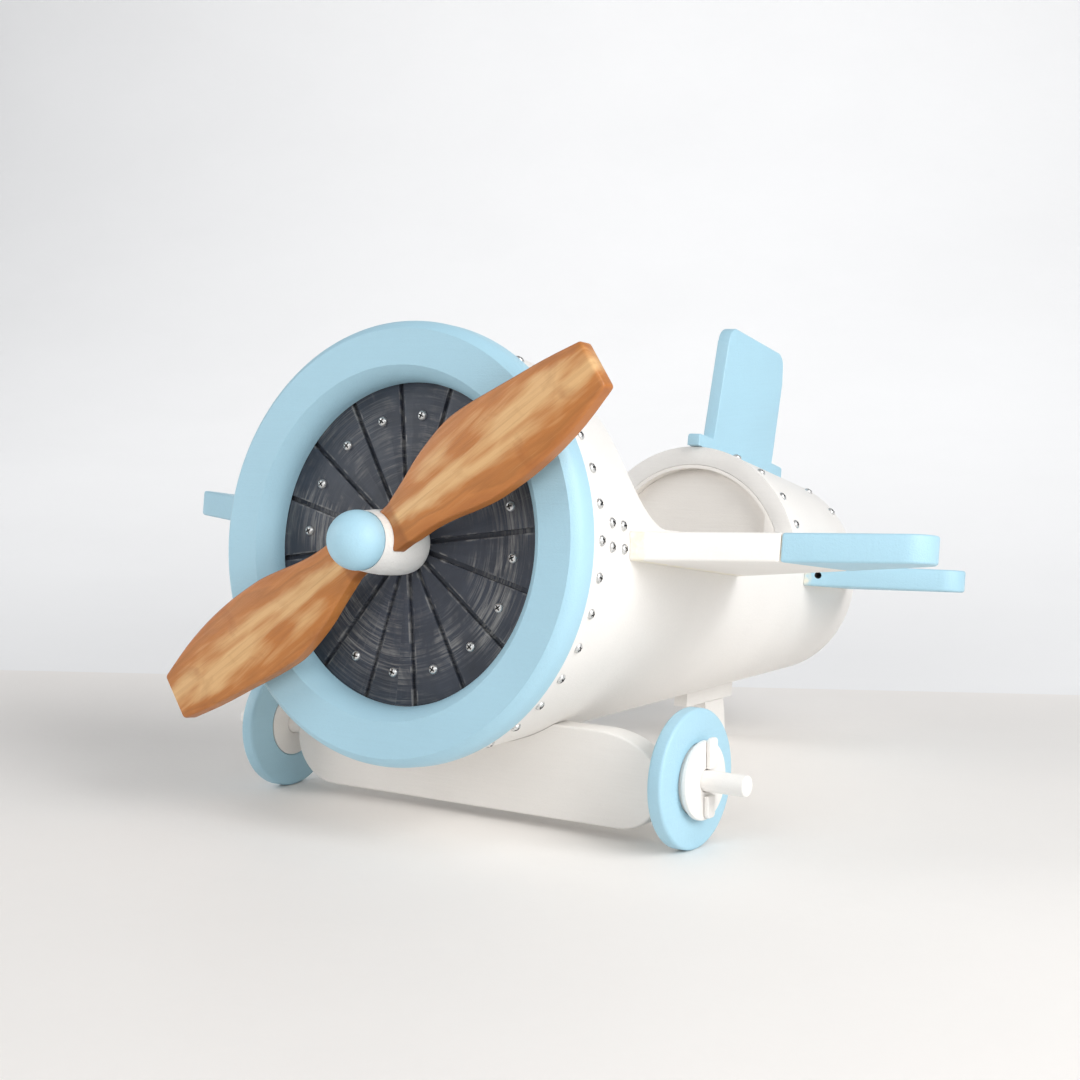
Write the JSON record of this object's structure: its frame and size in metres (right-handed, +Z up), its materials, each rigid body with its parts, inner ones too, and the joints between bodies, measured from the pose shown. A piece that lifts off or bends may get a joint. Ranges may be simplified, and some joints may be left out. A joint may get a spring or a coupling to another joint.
{
  "type": "toy airplane",
  "caption": "Painted wooden open-cockpit toy airplane with a round cowl, slotted engine disc, turning stained propeller, tapered wings, tail planes, and two free wheels with a tail skid.",
  "frame": {"origin": "centre of the bounding box, at the ground that the two wheels and the tail skid stand on", "axes": "+Z up; nose towards -Y, tail towards +Y; wings along X, the pilot's left wing at +X; the airframe is pitched nose-up by 7.6 degrees"},
  "size_m": [0.637, 0.6002, 0.351],
  "materials": {
    "cowl_ring": "satin pale blue paint",
    "disc_screw_01": "bright",
    "disc_screw_02": "bright",
    "disc_screw_03": "bright",
    "disc_screw_04": "bright",
    "disc_screw_05": "bright",
    "disc_screw_06": "bright",
    "disc_screw_07": "bright",
    "disc_screw_08": "bright",
    "disc_screw_09": "bright",
    "disc_screw_10": "bright",
    "disc_screw_11": "bright",
    "disc_screw_12": "bright",
    "disc_screw_13": "bright",
    "disc_screw_14": "bright",
    "disc_screw_15": "bright",
    "disc_screw_16": "bright",
    "engine_disc": "charcoal stain, dry-brushed",
    "fuselage_shell": "matt white paint",
    "gear_board": "matt white paint",
    "left_axle": "matt white paint",
    "left_hub_disc": "matt white paint",
    "left_hub_strip_lower": "matt white paint",
    "left_hub_strip_upper": "matt white paint",
    "left_stabilizer": "satin pale blue paint",
    "left_wheel": "satin pale blue paint",
    "left_wing": "matt white paint",
    "left_wing_tip": "satin pale blue paint",
    "propeller_blade_lower": "orange-brown stain",
    "propeller_blade_upper": "orange-brown stain",
    "propeller_hub": "matt white paint",
    "propeller_shaft": "bare",
    "right_axle": "matt white paint",
    "right_hub_disc": "matt white paint",
    "right_hub_strip_lower": "matt white paint",
    "right_hub_strip_upper": "matt white paint",
    "right_stabilizer": "satin pale blue paint",
    "right_wheel": "satin pale blue paint",
    "right_wing": "matt white paint",
    "right_wing_tip": "satin pale blue paint",
    "seat_arch_liner": "matt white paint",
    "seat_back_panel": "matt white paint",
    "shaft_collar": "bare",
    "spinner_ball": "satin pale blue paint",
    "tail_end_panel": "matt white paint",
    "tail_fin": "satin pale blue paint",
    "tail_keel": "matt white paint",
    "tail_leg": "matt white paint"
  },
  "bodies": {
    "airframe": {"cowl_ring": "cowl_ring", "disc_screw_01": "disc_screw_01", "disc_screw_02": "disc_screw_02", "disc_screw_03": "disc_screw_03", "disc_screw_04": "disc_screw_04", "disc_screw_05": "disc_screw_05", "disc_screw_06": "disc_screw_06", "disc_screw_07": "disc_screw_07", "disc_screw_08": "disc_screw_08", "disc_screw_09": "disc_screw_09", "disc_screw_10": "disc_screw_10", "disc_screw_11": "disc_screw_11", "disc_screw_12": "disc_screw_12", "disc_screw_13": "disc_screw_13", "disc_screw_14": "disc_screw_14", "disc_screw_15": "disc_screw_15", "disc_screw_16": "disc_screw_16", "engine_disc": "engine_disc", "fuselage_shell": "fuselage_shell", "gear_board": "gear_board", "left_axle": "left_axle", "left_stabilizer": "left_stabilizer", "left_wing": "left_wing", "left_wing_tip": "left_wing_tip", "right_axle": "right_axle", "right_stabilizer": "right_stabilizer", "right_wing": "right_wing", "right_wing_tip": "right_wing_tip", "seat_arch_liner": "seat_arch_liner", "seat_back_panel": "seat_back_panel", "tail_end_panel": "tail_end_panel", "tail_fin": "tail_fin", "tail_keel": "tail_keel", "tail_leg": "tail_leg"},
    "propeller": {"propeller_blade_lower": "propeller_blade_lower", "propeller_blade_upper": "propeller_blade_upper", "propeller_hub": "propeller_hub", "propeller_shaft": "propeller_shaft", "shaft_collar": "shaft_collar", "spinner_ball": "spinner_ball"},
    "left_wheel_set": {"left_hub_disc": "left_hub_disc", "left_hub_strip_lower": "left_hub_strip_lower", "left_hub_strip_upper": "left_hub_strip_upper", "left_wheel": "left_wheel"},
    "right_wheel_set": {"right_hub_disc": "right_hub_disc", "right_hub_strip_lower": "right_hub_strip_lower", "right_hub_strip_upper": "right_hub_strip_upper", "right_wheel": "right_wheel"}
  },
  "joints": [
    {"name": "propeller_spin", "type": "hinge", "parent": "airframe", "child": "propeller", "pos_m": [0, -0.2395, 0.2025], "axis": [0, 0.9912, -0.1326], "continuous": true},
    {"name": "left_wheel_spin", "type": "hinge", "parent": "airframe", "child": "left_wheel_set", "pos_m": [0.1762, -0.1486, 0.0475], "axis": [1, 0, 0], "continuous": true},
    {"name": "right_wheel_spin", "type": "hinge", "parent": "airframe", "child": "right_wheel_set", "pos_m": [-0.1762, -0.1486, 0.0475], "axis": [1, 0, 0], "continuous": true}
  ]
}
